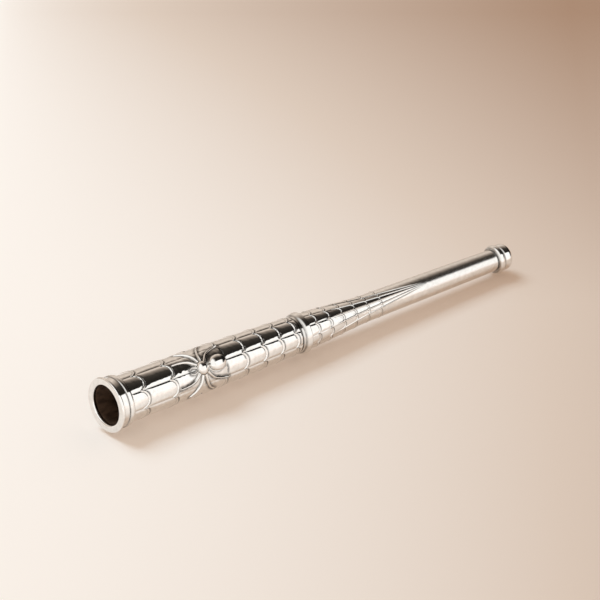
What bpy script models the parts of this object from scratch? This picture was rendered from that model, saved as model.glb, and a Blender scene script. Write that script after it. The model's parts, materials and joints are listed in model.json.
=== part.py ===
"""Silver magic wand: a hollow web-chased handle with a spider, and a tapering shaft that screws in.

Lengths are measured along the wand's axis from the mouth face (u) and out from that axis (r).
The finished wand lies as it rests on a table, on its lip and on the bead behind its tip.
"""
from math import atan2, cos, degrees, hypot, pi, radians, sin

import bmesh
import bpy
from mathutils import Vector

for old in list(bpy.data.objects):
    bpy.data.objects.remove(old, do_unlink=True)

MM = 0.001

# Fits between the pieces
FIT = 0.3 * MM              # gap round pieces that are soldered, pressed or slid together
THREAD_FIT = 0.3 * MM       # gap round the screw spigot

# Mouth ferrule
LIP_LENGTH = 1.9 * MM
LIP_RISE = 1.5 * MM         # how far the lip stands out from the bare band
BAND_LENGTH = 3.6 * MM
BAND_RISE = 1.0 * MM        # how far the band stands out from the sleeve's mouth
BEAD_LENGTH = 3.0 * MM
BEAD_RISE = 0.8 * MM        # how far the bead stands out from the band
MOUTH_CHAMFER = 1.0 * MM

# Handle sleeve and the liner that it covers
SLEEVE_LENGTH = 108.5 * MM
SLEEVE_MOUTH_R = 11.7 * MM
SLEEVE_FRONT_R = 9.3 * MM
SLEEVE_SWELL = 1.8          # 1 is a straight cone, more keeps the handle full near the mouth
SLEEVE_WALL = 0.5 * MM
LINER_WALL = 0.6 * MM

# Web on the handle
HANDLE_THREADS = 8
HANDLE_RELIEF = 0.45 * MM
HANDLE_THREAD_WIDTH = 1.4 * MM
FIRST_RING = 18.5 * MM      # from the mouth to the first cross thread, at the middle of a cell
RING_STEP = 17.9 * MM
RING_SHRINK = 0.91          # each step between cross threads is this much of the one before
RING_BULGE = 0.25           # how far a cross thread bows to the tip, as a share of its step
RING_ROUND = 2.2            # 2 makes the bow an ellipse, more flattens its middle
WEB_MARGIN = 0.8 * MM       # plain metal kept between the last cross thread and the collar

# Spider
SPIDER_ANGLE = radians(52)  # from the top of the wand towards the viewer's side
THORAX_U = 52.6 * MM
THORAX_LENGTH = 6.4 * MM
THORAX_WIDTH = 6.8 * MM
THORAX_HEIGHT = 3.6 * MM
ABDOMEN_LENGTH = 11.6 * MM
ABDOMEN_WIDTH = 8.4 * MM
ABDOMEN_HEIGHT = 4.4 * MM
ABDOMEN_RIM = 0.5 * MM      # width and height of the thin rim that the abdomen stands on
LEG_WIDTH = 1.4 * MM
LEG_HEIGHT = 1.1 * MM
LEG_FOOT_SHARE = 0.55       # width and height left at the foot
PALP_SHARE = 0.75           # a palp's width and height, as a share of a leg's
PALP_REACH = 7.2 * MM       # from the thorax's middle to the palps' ends
FIELD_BEHIND = 15.5 * MM    # smooth field round the spider, towards the mouth
FIELD_AHEAD = 15.0 * MM     # and towards the tip
FIELD_ANGLE = radians(76)   # and round the handle, to each side

# Collar, bush and washer
COLLAR_RISE = 1.5 * MM      # how far the collar stands out from the sleeve's front
COLLAR_LENGTH = 5.4 * MM
COLLAR_BAND = 1.6 * MM      # length of the low band on its handle side
COLLAR_CROWN = 1.4 * MM     # how far its half-round ring stands out from that band
BUSH_LENGTH = 25.0 * MM
BUSH_SHOULDER = 0.2 * MM    # step from the bush's tail down to the neck that carries the collar
BUSH_FLOOR = 4.0 * MM
WASHER_THICKNESS = 0.7 * MM

# Screw joint
SPIGOT_R = 4.75 * MM
PILOT_R = 3.9 * MM
PILOT_LENGTH = 4.0 * MM
THREAD_LENGTH = 10.0 * MM
SPIGOT_HOLD = 26.0 * MM     # how far the spigot runs into the shaft's core

# Shaft
SHAFT_LENGTH = 129.0 * MM
SHAFT_BACK_R = 9.15 * MM
SHAFT_NECK_R = 6.75 * MM
SHAFT_FRONT_R = 5.7 * MM
FLARE_LENGTH = 46.0 * MM    # from the collar to the neck
ROD_SWELL = 1.6             # how the rod keeps full before it narrows to the tip
SHAFT_WALL = 0.8 * MM
CORE_SHORT = 2.0 * MM       # how far the core stops short of the shaft's front

# Web on the shaft, two fans of threads that each close to a point
FAN_ANGLE = radians(45)     # middle of the front fan, from the top towards the viewer's side
FAN_HALF_SPREAD = radians(72)
FAN_CELLS = 4
FAN_LENGTH = 84.0 * MM
FAN_POINT_SHARE = 0.15      # what is left of the spread where the threads run out
SHAFT_RELIEF = 0.35 * MM
SHAFT_THREAD_WIDTH = 1.1 * MM
SHAFT_FIRST_RING = 5.7 * MM  # from the collar to the first cross thread
SHAFT_RING_STEP = 8.6 * MM
SHAFT_RINGS = 6
SHAFT_BULGE = 2.2 * MM

# Tip
TIP_GROOVE_RISE = 0.1 * MM  # how far the grooves beside the bead stand out from the shaft's front
TIP_BEAD_RISE = 1.9 * MM    # how far the bead stands out from those grooves
TIP_BEAD_LENGTH = 3.9 * MM
CAP_RISE = 1.1 * MM         # and the cap
CAP_BACK_LENGTH = 2.7 * MM
CAP_DOME_LENGTH = 4.5 * MM
STUD_R = 1.9 * MM
STUD_IN_CORE = 14.0 * MM
STUD_IN_CAP = 4.0 * MM

# Facets
REST_SIDES = 24             # rings that the wand lies on, one flat facing down
TURNED_SIDES = 32
INNER_SIDES = 20
DOME_SIDES = 16
LEG_STEPS = 9

# Stations along the axis
FERRULE_END = LIP_LENGTH + BAND_LENGTH + BEAD_LENGTH
SLEEVE_START = FERRULE_END + FIT
SLEEVE_END = SLEEVE_START + SLEEVE_LENGTH
COLLAR_START = SLEEVE_END + FIT
COLLAR_END = COLLAR_START + COLLAR_LENGTH
SHAFT_START = COLLAR_END + FIT
SHAFT_END = SHAFT_START + SHAFT_LENGTH
WASHER_START = COLLAR_END - WASHER_THICKNESS
BUSH_END = WASHER_START - FIT
BUSH_START = BUSH_END - BUSH_LENGTH
TIP_BEAD_START = SHAFT_END + FIT
TIP_BEAD_END = TIP_BEAD_START + TIP_BEAD_LENGTH
CAP_START = TIP_BEAD_END + FIT
CAP_CREST = CAP_START + CAP_BACK_LENGTH
CAP_END = CAP_CREST + CAP_DOME_LENGTH
ABDOMEN_U = THORAX_U + THORAX_LENGTH / 2 + FIT + ABDOMEN_LENGTH / 2

# Radii that follow from their neighbours
BAND_R = SLEEVE_MOUTH_R + BAND_RISE
LIP_R = BAND_R + LIP_RISE
BEAD_R = BAND_R + BEAD_RISE
COLLAR_R = SLEEVE_FRONT_R + COLLAR_RISE
TIP_GROOVE_R = SHAFT_FRONT_R + TIP_GROOVE_RISE
TIP_BEAD_R = TIP_GROOVE_R + TIP_BEAD_RISE
CAP_R = TIP_GROOVE_R + CAP_RISE


def finish(name, colour, roughness, metallic):
    """A plain material with one colour and gloss."""
    material = bpy.data.materials.new(name)
    material.use_nodes = True
    shader = material.node_tree.nodes["Principled BSDF"]
    shader.inputs["Base Color"].default_value = (*colour, 1)
    shader.inputs["Roughness"].default_value = roughness
    shader.inputs["Metallic"].default_value = metallic
    return material


SILVER = finish("polished_silver", (0.87, 0.86, 0.84), 0.1, 1)
LACQUER = finish("brown_lacquer", (0.05, 0.03, 0.02), 0.4, 0)
BRASS = finish("turned_brass", (0.72, 0.54, 0.27), 0.3, 1)
HARDWOOD = finish("dark_hardwood", (0.11, 0.06, 0.035), 0.6, 0)
LEATHER = finish("washer_leather", (0.2, 0.11, 0.06), 0.8, 0)


def at(u, r, angle):
    """The point at a length, a radius and an angle from the top towards the viewer's side."""
    return Vector((u, -r * sin(angle), r * cos(angle)))


def smooth(t):
    """Ease from 0 to 1 as t goes from 0 to 1."""
    t = min(max(t, 0), 1)
    return t * t * (3 - 2 * t)


def rounded(u, r, half_length, height, start, end, steps):
    """Points of an elliptical arc, with 180 degrees towards the mouth and 90 outwards."""
    turns = [radians(start + (end - start) * i / steps) for i in range(steps + 1)]
    return [(u + half_length * cos(a), r + height * sin(a)) for a in turns]


def frame_empty(name, parent, location, tilt):
    """An empty that carries the pieces of one body."""
    empty = bpy.data.objects.new(name, None)
    bpy.context.scene.collection.objects.link(empty)
    empty.parent = parent
    empty.location = location
    empty.rotation_euler = (0, tilt, 0)
    return empty


def piece(name, bm, material, parent):
    """Turn a finished bmesh into a named object carried by an empty."""
    bmesh.ops.recalc_face_normals(bm, faces=bm.faces)
    if bm.calc_volume(signed=True) < 0:
        bmesh.ops.reverse_faces(bm, faces=bm.faces)
    mesh = bpy.data.meshes.new(name)
    bm.to_mesh(mesh)
    bm.free()
    mesh.shade_smooth()
    mesh.set_sharp_from_angle(angle=radians(35))
    mesh.materials.append(material)
    obj = bpy.data.objects.new(name, mesh)
    bpy.context.scene.collection.objects.link(obj)
    obj.parent = parent
    if parent.parent:
        obj.location = -parent.location
    return obj


def turned(name, outline, sides, material, parent, solid=False):
    """Spin an outline of (u, r) points about the axis, with one flat facing down.

    A ring's outline closes on itself. A solid's outline starts and ends on the axis.
    """
    bm = bmesh.new()
    points = [bm.verts.new(at(u, r, pi / sides)) for u, r in outline]
    following = points[1:] if solid else points[1:] + points[:1]
    edges = [bm.edges.new(ends) for ends in zip(points, following)]
    bmesh.ops.spin(bm, geom=points + edges, cent=(0, 0, 0), axis=(1, 0, 0), angle=2 * pi, steps=sides)
    bmesh.ops.remove_doubles(bm, verts=bm.verts, dist=0.01 * MM)
    return piece(name, bm, material, parent)


def loft(name, loops, material, parent, wrap=False):
    """Skin a run of loops with equal point counts, closed on itself or capped at both ends."""
    bm = bmesh.new()
    rings = [[bm.verts.new(point) for point in loop] for loop in loops]
    following = rings[1:] + rings[:1] if wrap else rings[1:]
    for ring, after in zip(rings, following):
        for i in range(len(ring)):
            bm.faces.new((ring[i - 1], ring[i], after[i], after[i - 1]))
    if not wrap:
        bm.faces.new(rings[0])
        bm.faces.new(rings[-1])
    return piece(name, bm, material, parent)


def sleeve_r(u):
    """Outer radius of the handle sleeve between its raised threads."""
    t = min(max((u - SLEEVE_START) / SLEEVE_LENGTH, 0), 1)
    return SLEEVE_MOUTH_R + (SLEEVE_FRONT_R - SLEEVE_MOUTH_R) * t ** SLEEVE_SWELL


def liner_r(u):
    """Outer radius of the liner, which fills the sleeve."""
    return sleeve_r(u) - SLEEVE_WALL - FIT


def bore_r(u):
    """Radius of the wand's bore."""
    return liner_r(u) - LINER_WALL


def shaft_r(u):
    """Outer radius of the shaft between its raised threads: a flared neck, then a slim rod."""
    flare = SHAFT_BACK_R + (SHAFT_NECK_R - SHAFT_BACK_R) * smooth((u - SHAFT_START) / FLARE_LENGTH)
    along_rod = max((u - SHAFT_START - FLARE_LENGTH) / (SHAFT_LENGTH - FLARE_LENGTH), 0)
    return flare + (SHAFT_FRONT_R - SHAFT_NECK_R) * along_rod ** ROD_SWELL


def core_r(u):
    """Outer radius of the shaft's core."""
    return shaft_r(u) - SHAFT_WALL - FIT


def stations(start, end, count):
    """Evenly spaced lengths, ends included."""
    return [start + (end - start) * i / (count - 1) for i in range(count)]


# The wand lies on the flats of its lip and tip bead, which sets the tilt of its axis
flat = cos(pi / REST_SIDES)
lip_crest = LIP_LENGTH / 2
tip_crest = TIP_BEAD_START + TIP_BEAD_LENGTH / 2
tilt = atan2((LIP_R - TIP_BEAD_R) * flat, tip_crest - lip_crest)
lowest_x = -(LIP_R - lip_crest) * flat * sin(tilt)
middle = (lowest_x + CAP_END * cos(tilt)) / 2
lift = LIP_R * flat * cos(tilt) + lip_crest * sin(tilt)
handle = frame_empty("handle_axis", None, (-middle, 0, lift), tilt)
washer_seat = frame_empty("washer_axis", handle, (WASHER_START, 0, 0), 0)
shaft = frame_empty("shaft_axis", handle, (SHAFT_START, 0, 0), 0)


# Mouth ferrule: a turned ring with a rounded lip, a bare band and a bead, over the liner's end
ledge = LIP_LENGTH
seat_r = liner_r(SLEEVE_START) + FIT
mouth_r = bore_r(SLEEVE_START)
bead_middle = LIP_LENGTH + BAND_LENGTH + BEAD_LENGTH / 2
turned(
    "mouth_ferrule",
    [(MOUTH_CHAMFER, mouth_r), (0, mouth_r + MOUTH_CHAMFER)]
    + rounded(lip_crest, LIP_R - lip_crest, lip_crest, lip_crest, 180, 0, 6)
    + [(LIP_LENGTH, BAND_R)]
    + rounded(bead_middle, BAND_R, BEAD_LENGTH / 2, BEAD_R - BAND_R, 180, 0, 6)
    + [(FERRULE_END, seat_r), (ledge, seat_r), (ledge, mouth_r)],
    REST_SIDES, SILVER, handle,
)

# Liner tube: the dark tube that the sleeve is drawn over, open at the mouth
liner_start = ledge + FIT
liner_stations = [liner_start] + stations(SLEEVE_START, SLEEVE_END, 6)
turned(
    "liner_tube",
    [(u, liner_r(u)) for u in liner_stations] + [(u, bore_r(u)) for u in reversed(liner_stations)],
    REST_SIDES, LACQUER, handle,
)

# Joint bush: a blind threaded plug that closes the bore and carries the collar on its neck
bush_tail = stations(BUSH_START, SLEEVE_END, 3)
bush_neck_r = bore_r(SLEEVE_END) - FIT - BUSH_SHOULDER
turned(
    "joint_bush",
    [(BUSH_START, 0)]
    + [(u, bore_r(u) - FIT) for u in bush_tail]
    + [(SLEEVE_END, bush_neck_r), (BUSH_END, bush_neck_r), (BUSH_END, SPIGOT_R + THREAD_FIT)]
    + [(BUSH_START + BUSH_FLOOR, SPIGOT_R + THREAD_FIT), (BUSH_START + BUSH_FLOOR, 0)],
    REST_SIDES, BRASS, handle, solid=True,
)

# Collar: a low band and a half-round ring in one, on the bush's neck, where the shaft meets the handle
band_r = COLLAR_R - COLLAR_CROWN
collar_bore = bush_neck_r + FIT
half_ring = (COLLAR_LENGTH - COLLAR_BAND) / 2
turned(
    "collar_ring",
    [(COLLAR_START, collar_bore), (COLLAR_START, band_r)]
    + rounded(COLLAR_END - half_ring, band_r, half_ring, COLLAR_CROWN, 180, 0, 10)
    + [(COLLAR_END, collar_bore)],
    TURNED_SIDES, SILVER, handle,
)


def off_spider(angle):
    """Angle round the handle from the spider's own thread, between minus and plus half a turn."""
    return (angle - SPIDER_ANGLE + pi) % (2 * pi) - pi


def web_share(u, angle):
    """How much of the web stands up here: none in the smooth field round the spider."""
    reach = FIELD_AHEAD if u > THORAX_U else FIELD_BEHIND
    out = hypot(abs((u - THORAX_U) / reach) ** 2, abs(off_spider(angle) / FIELD_ANGLE) ** 2)
    return smooth((out - 0.85) / 0.2)


def bow(t):
    """Share of its bulge that a cross thread has at a place between two threads, t from 0 to 1."""
    return max(1 - abs(2 * t - 1) ** RING_ROUND, 0) ** 0.5


def cross_lines(start, end, rings, bulges, half_width):
    """Lines across a web as (length at a thread, bulge at mid cell, is a cross thread)."""
    lines = [(start, 0, False)]
    for ring, bulge in zip(rings, bulges):
        foot = ring - bulge
        last, last_bulge, _ = lines[-1]
        lines.append(((last + foot - half_width) / 2, (last_bulge + bulge) / 2, False))
        lines += [(foot - half_width, bulge, False), (foot, bulge, True), (foot + half_width, bulge, False)]
    return lines + [(end, 0, False)]


# Handle sleeve: sheet silver raised into web threads, with a smooth field left for the spider
half_thread = HANDLE_THREAD_WIDTH / 2
cell = 2 * pi / HANDLE_THREADS
rings, steps = [], []
ring, step = FIRST_RING, RING_STEP
while ring + half_thread + WEB_MARGIN < SLEEVE_END:
    rings.append(ring)
    steps.append(step)
    ring, step = ring + step, step * RING_SHRINK
bulges = [RING_BULGE * s for s in steps]
spider_back = THORAX_U - PALP_REACH
spider_front = ABDOMEN_U + ABDOMEN_LENGTH / 2 + LEG_WIDTH


def sleeve_loop(u_thread, bulge, is_cross):
    """One line of sleeve points right round, bowed between the threads."""
    loop = []
    foot = half_thread / (sleeve_r(u_thread) * cell)
    for thread in range(HANDLE_THREADS):
        for t in (0, foot, 0.3, 0.5, 0.7, 1 - foot):
            u = u_thread + bulge * bow(t)
            angle = SPIDER_ANGLE + (thread + t) * cell
            share = web_share(u, angle)
            if thread == 0 and t == 0:
                share = 0 if spider_back < u < spider_front else 1
            raised = HANDLE_RELIEF * share if is_cross or t == 0 else 0
            loop.append(at(u, sleeve_r(u) + raised, angle))
    return loop


def inner_loop(u, radius, outer):
    """The sleeve's or shaft's inside at one length, on the angles of an outer line."""
    angles = [atan2(-point.y, point.z) for point in outer]
    return [at(u, radius, angle) for angle in angles]


sleeve_lines = cross_lines(SLEEVE_START, SLEEVE_END, rings, bulges, half_thread)
sleeve_outer = [sleeve_loop(*line) for line in sleeve_lines]
sleeve_inner = [inner_loop(u, sleeve_r(u) - SLEEVE_WALL, sleeve_outer[0])
                for u in reversed(stations(SLEEVE_START, SLEEVE_END, 6))]
loft("handle_sleeve", sleeve_outer + sleeve_inner, SILVER, handle, wrap=True)


def dome(name, u_middle, length, width, height, rim=0):
    """A cast oval boss whose underside follows the handle, plain or on a thin rim."""
    def loop(share, lift_share):
        points = []
        for i in range(DOME_SIDES):
            a = 2 * pi * i / DOME_SIDES
            u = u_middle + share * length / 2 * cos(a)
            r = sleeve_r(u) + FIT
            angle = SPIDER_ANGLE + share * width / 2 * sin(a) / r
            points.append(at(u, r + height * lift_share, angle))
        return points

    rim_lift = rim / height
    inside_rim = 1 - 2 * rim / width
    turns = [radians(a) for a in (8, 25, 42, 58, 75)]
    crown = [loop(inside_rim * sin(a), rim_lift + (1 - rim_lift) * cos(a)) for a in turns]
    edge = [loop(inside_rim, rim_lift), loop(1, rim_lift)] if rim else []
    underside = [loop(1, 0), loop(0.6, 0), loop(0.2, 0)]
    loft(name, crown + edge + underside, SILVER, handle)


dome("spider_thorax", THORAX_U, THORAX_LENGTH, THORAX_WIDTH, THORAX_HEIGHT)
dome("spider_abdomen", ABDOMEN_U, ABDOMEN_LENGTH, ABDOMEN_WIDTH, ABDOMEN_HEIGHT, ABDOMEN_RIM)


# Spider legs and palps: half-round wires, four legs and a short palp to a side. Each has the angle where
# it leaves the thorax, with 0 towards the tip, then its bends as (mm along, degrees round) from the middle
LEG_ROUTES = (
    (140, (-6.2, 25), (-10.5, 31), (-15.0, 32)),
    (106, (-2.3, 36), (-5.0, 55), (-8.5, 69)),
    (74, (1.8, 38), (4.0, 57), (7.4, 71)),
    (43, (6.0, 31), (11.0, 41), (15.5, 46)),
)
PALP_ROUTE = (164, (-5.0, 8), (-6.3, 7), (-PALP_REACH / MM, 5))


def leg_points(root, *bends):
    """A leg's root clear of the thorax, then its bends, as (length along, angle round)."""
    clear = FIT + LEG_WIDTH / 2
    along = (THORAX_LENGTH / 2 + clear) * cos(radians(root))
    around = (THORAX_WIDTH / 2 + clear) * sin(radians(root))
    return [(along, around / sleeve_r(THORAX_U))] + [(u * MM, radians(turn)) for u, turn in bends]


def along_curve(points, t):
    """A point on a smooth curve through all the points, with t from 0 to 1."""
    span = t * (len(points) - 1)
    i = min(int(span), len(points) - 2)
    t = span - i
    b, c = Vector(points[i]), Vector(points[i + 1])
    a = Vector(points[i - 1]) if i else 2 * b - c
    d = Vector(points[i + 2]) if i + 2 < len(points) else 2 * c - b
    bend = t * t / 2 * (2 * a - 5 * b + 4 * c - d) + t ** 3 / 2 * (3 * b - a - 3 * c + d)
    return b + t / 2 * (c - a) + bend


def wire(name, route, side, thickness=1):
    """One leg or palp, lying on the smooth field and stepping up over the web beyond it."""
    points = leg_points(*route)

    def on_handle(t):
        along, turn = along_curve(points, t)
        u = THORAX_U + along
        angle = SPIDER_ANGLE + side * turn
        return at(u, sleeve_r(u) + FIT + HANDLE_RELIEF * web_share(u, angle), angle)

    loops = []
    for i in range(LEG_STEPS + 1):
        t = i / LEG_STEPS
        taper = thickness * (1 - (1 - LEG_FOOT_SHARE) * t)
        here = on_handle(t)
        heading = (on_handle(min(t + 0.02, 1)) - on_handle(max(t - 0.02, 0))).normalized()
        out = Vector((0, here.y, here.z)).normalized()
        across = heading.cross(out).normalized() * LEG_WIDTH / 2 * taper
        up = out * LEG_HEIGHT * taper
        turns = [pi * k / 4 for k in range(5)]
        loops.append([here + across * cos(a) + up * sin(a) for a in turns])
    loft(name, loops, SILVER, handle)


for side, side_name in ((-1, "upper"), (1, "lower")):
    for number, route in enumerate(LEG_ROUTES, 1):
        wire(f"spider_leg_{side_name}_{number}", route, side)
    wire(f"spider_palp_{side_name}", PALP_ROUTE, side, PALP_SHARE)


# Joint washer: a leather ring on the spigot, pinched between bush and shaft
turned(
    "joint_washer",
    [(WASHER_START, SPIGOT_R + THREAD_FIT), (WASHER_START, collar_bore - FIT),
     (COLLAR_END, collar_bore - FIT), (COLLAR_END, SPIGOT_R + THREAD_FIT)],
    REST_SIDES, LEATHER, washer_seat,
)

# Joint spigot: a brass screw with a plain pilot, fixed in the shaft's core
thread_start = BUSH_END - THREAD_LENGTH
spigot_end = SHAFT_START + SPIGOT_HOLD
turned(
    "joint_spigot",
    [(thread_start - PILOT_LENGTH, 0), (thread_start - PILOT_LENGTH, PILOT_R), (thread_start, PILOT_R),
     (thread_start, SPIGOT_R), (spigot_end, SPIGOT_R), (spigot_end, 0)],
    REST_SIDES, BRASS, shaft, solid=True,
)

# Shaft core: a turned hardwood rod, drilled for the spigot and the tip's stud
core_start = SHAFT_START + FIT
core_end = SHAFT_END - CORE_SHORT
stud_start = core_end - STUD_IN_CORE
turned(
    "shaft_core",
    [(spigot_end + FIT, 0), (spigot_end + FIT, SPIGOT_R + FIT), (core_start, SPIGOT_R + FIT)]
    + [(u, core_r(u)) for u in stations(core_start, SHAFT_START + FLARE_LENGTH, 6)]
    + [(u, core_r(u)) for u in stations(SHAFT_START + FLARE_LENGTH, core_end, 4)[1:]]
    + [(core_end, STUD_R + FIT), (stud_start - FIT, STUD_R + FIT), (stud_start - FIT, 0)],
    INNER_SIDES, HARDWOOD, shaft, solid=True,
)


def fan_spread(u):
    """Share of the fans' full spread at this length, which narrows to the point and then stays."""
    along = min((u - SHAFT_START) / FAN_LENGTH, 1)
    return 1 + (FAN_POINT_SHARE - 1) * along


def shaft_loop(u_thread, bulge, is_cross):
    """One line of shaft points right round: two fans of cells and the two wide cells between them."""
    loop = []
    spread = FAN_HALF_SPREAD * fan_spread(u_thread)
    narrow = 2 * spread / FAN_CELLS
    wide = pi - 2 * spread
    fade = 1 - smooth((u_thread - last_ring) / (SHAFT_START + FAN_LENGTH - last_ring))
    for fan in (0, 1):
        start = FAN_ANGLE + fan * pi - spread
        cells = [(start + narrow * i, narrow, 1) for i in range(FAN_CELLS)]
        cells.append((start + 2 * spread, wide, 7))
        for first, width, inside in cells:
            foot = min(SHAFT_THREAD_WIDTH / 2 / (shaft_r(u_thread) * width), 0.3)
            for t in [0, foot] + [(i + 1) / (inside + 1) for i in range(inside)] + [1 - foot]:
                u = u_thread + bulge * bow(t)
                raised = SHAFT_RELIEF * fade if is_cross or t == 0 else 0
                loop.append(at(u, shaft_r(u) + raised, first + width * t))
    return loop


# Shaft: a silver tube over the core, webbed at its flared end and plain towards the tip
shaft_rings = [SHAFT_START + SHAFT_FIRST_RING + SHAFT_RING_STEP * i for i in range(SHAFT_RINGS)]
last_ring = shaft_rings[-1]
fan_end = SHAFT_START + FAN_LENGTH
shaft_bulges = [SHAFT_BULGE] * SHAFT_RINGS
web_lines = cross_lines(SHAFT_START, fan_end, shaft_rings, shaft_bulges, SHAFT_THREAD_WIDTH / 2)
run_out = [(u, 0, False) for u in stations(last_ring + SHAFT_BULGE, fan_end, 4)[1:-1]]
plain_rod = [(u, 0, False) for u in stations(fan_end, SHAFT_END, 4)[1:]]
shaft_outer = [shaft_loop(*line) for line in web_lines[:-1] + run_out + web_lines[-1:] + plain_rod]
shaft_stations = stations(SHAFT_START, SHAFT_START + FLARE_LENGTH, 6) + stations(fan_end, SHAFT_END, 3)
shaft_inner = [inner_loop(u, shaft_r(u) - SHAFT_WALL, shaft_loop(u, 0, False))
               for u in reversed(shaft_stations)]
loft("shaft", shaft_outer + shaft_inner, SILVER, shaft, wrap=True)

# Tip bead: a turned ring on the stud, the wand's far rest
stud_hole = STUD_R + FIT
turned(
    "tip_bead",
    [(TIP_BEAD_START, stud_hole)]
    + rounded(tip_crest, TIP_GROOVE_R, TIP_BEAD_LENGTH / 2, TIP_BEAD_R - TIP_GROOVE_R, 180, 0, 8)
    + [(TIP_BEAD_END, stud_hole)],
    REST_SIDES, SILVER, shaft,
)

# Tip cap: a domed finial drilled to go over the stud
stud_end = CAP_START + STUD_IN_CAP
turned(
    "tip_cap",
    [(stud_end + FIT, 0), (stud_end + FIT, stud_hole), (CAP_START, stud_hole)]
    + rounded(CAP_CREST, TIP_GROOVE_R, CAP_BACK_LENGTH, CAP_R - TIP_GROOVE_R, 180, 90, 4)
    + rounded(CAP_CREST, 0, CAP_DOME_LENGTH, CAP_R, 90, 0, 6)[1:-1]
    + [(CAP_END, 0)],
    REST_SIDES, SILVER, shaft, solid=True,
)

# Tip stud: a brass pin that holds bead and cap to the core
turned(
    "tip_stud",
    [(stud_start, 0), (stud_start, STUD_R), (stud_end, STUD_R), (stud_end, 0)],
    INNER_SIDES, BRASS, shaft, solid=True,
)

bpy.context.view_layer.update()
print(f"wand axis tilts {degrees(tilt):.3f} degrees to the table")
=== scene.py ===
import json
from math import cos, pi, radians, sin

import bmesh
import bpy
import numpy as np
from mathutils import Matrix, Vector


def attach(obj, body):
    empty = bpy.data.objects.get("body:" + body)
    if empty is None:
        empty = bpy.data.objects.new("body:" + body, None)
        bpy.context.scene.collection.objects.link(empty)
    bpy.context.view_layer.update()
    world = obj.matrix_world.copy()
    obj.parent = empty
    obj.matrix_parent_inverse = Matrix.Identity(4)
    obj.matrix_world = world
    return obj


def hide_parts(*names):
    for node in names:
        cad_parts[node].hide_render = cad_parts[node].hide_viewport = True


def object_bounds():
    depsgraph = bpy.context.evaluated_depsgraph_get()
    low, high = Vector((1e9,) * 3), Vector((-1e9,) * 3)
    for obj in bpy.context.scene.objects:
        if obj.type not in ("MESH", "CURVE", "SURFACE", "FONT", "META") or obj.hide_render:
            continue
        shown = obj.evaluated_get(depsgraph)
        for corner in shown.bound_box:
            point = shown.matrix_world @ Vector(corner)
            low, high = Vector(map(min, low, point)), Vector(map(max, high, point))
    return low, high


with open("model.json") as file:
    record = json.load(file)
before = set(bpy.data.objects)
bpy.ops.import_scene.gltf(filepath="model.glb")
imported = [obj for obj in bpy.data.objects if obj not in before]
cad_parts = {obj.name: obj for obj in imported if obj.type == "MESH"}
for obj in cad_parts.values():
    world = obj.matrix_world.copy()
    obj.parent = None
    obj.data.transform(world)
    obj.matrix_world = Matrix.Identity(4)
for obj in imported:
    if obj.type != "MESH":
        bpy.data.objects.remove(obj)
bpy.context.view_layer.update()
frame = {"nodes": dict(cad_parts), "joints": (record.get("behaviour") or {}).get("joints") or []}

# Liner tube
# A tube rolled from sheet and lacquered dark brown, which stiffens the handle and makes its bore.
# Only its inside shows, through the mouth. The sleeve is drawn over it.
MM = 0.001
shaft_turn = next(joint for joint in frame["joints"] if joint["name"] == "shaft_turn")
along = Vector(shaft_turn["axis"]).normalized()
across = Vector((0, 1, 0))
axes = Matrix((along, across, along.cross(across))).transposed().to_4x4()
ferrule_points = [vertex.co for vertex in frame["nodes"]["mouth_ferrule"].data.vertices]
mouth = min(along.dot(point) for point in ferrule_points) - along.dot(Vector(shaft_turn["pos_m"]))
wand = Matrix.Translation(Vector(shaft_turn["pos_m"]) + mouth * along) @ axes
to_wand = wand.inverted()


def span(node):
    """Where a CAD node starts and ends along the wand, measured from the mouth face."""
    lengths = [(to_wand @ vertex.co).x for vertex in frame["nodes"][node].data.vertices]
    return min(lengths), max(lengths)


def at(u, r, angle):
    """The point at a length, a radius and an angle from the top towards the spider's side."""
    return Vector((u, -r * sin(angle), r * cos(angle)))


def piece(name, mesh, material, body, nodes):
    """Put a finished mesh on the wand's axis, in place of its CAD nodes."""
    mesh.materials.append(material)
    obj = bpy.data.objects.new(name, mesh)
    bpy.context.scene.collection.objects.link(obj)
    obj.matrix_world = wand
    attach(obj, body)
    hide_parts(*nodes)


def arc(u, r, half_length, height, start, end, steps):
    """Points of an elliptical arc, with 180 degrees towards the mouth and 90 outwards."""
    turns = [radians(start + (end - start) * i / steps) for i in range(steps + 1)]
    return [(u + half_length * cos(a), r + height * sin(a)) for a in turns]


def turned(name, outline, solid=False, sides=144):
    """Spin an outline of (u, r) points about the axis into a smooth mesh."""
    bm = bmesh.new()
    points = [bm.verts.new(at(u, r, 0)) for u, r in outline]
    following = points[1:] if solid else points[1:] + points[:1]
    edges = [bm.edges.new(ends) for ends in zip(points, following)]
    bmesh.ops.spin(bm, geom=points + edges, cent=(0, 0, 0), axis=(1, 0, 0), angle=2 * pi, steps=sides)
    bmesh.ops.remove_doubles(bm, verts=bm.verts, dist=0.001 * MM)
    bmesh.ops.recalc_face_normals(bm, faces=bm.faces)
    if bm.calc_volume(signed=True) < 0:
        bmesh.ops.reverse_faces(bm, faces=bm.faces)
    mesh = bpy.data.meshes.new(name)
    bm.to_mesh(mesh)
    bm.free()
    mesh.shade_smooth()
    mesh.set_sharp_from_angle(angle=radians(40))
    return mesh


def new_group(name, inputs, outputs):
    """An empty shader node group with value inputs, and colour, value or vector outputs."""
    group = bpy.data.node_groups.new(name, "ShaderNodeTree")
    for socket, default in inputs.items():
        made = group.interface.new_socket(socket, in_out="INPUT", socket_type="NodeSocketFloat")
        made.default_value = default
    for socket, kind in outputs.items():
        group.interface.new_socket(socket, in_out="OUTPUT", socket_type="NodeSocket" + kind)
    return group, group.nodes.new("NodeGroupInput"), group.nodes.new("NodeGroupOutput")


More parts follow.
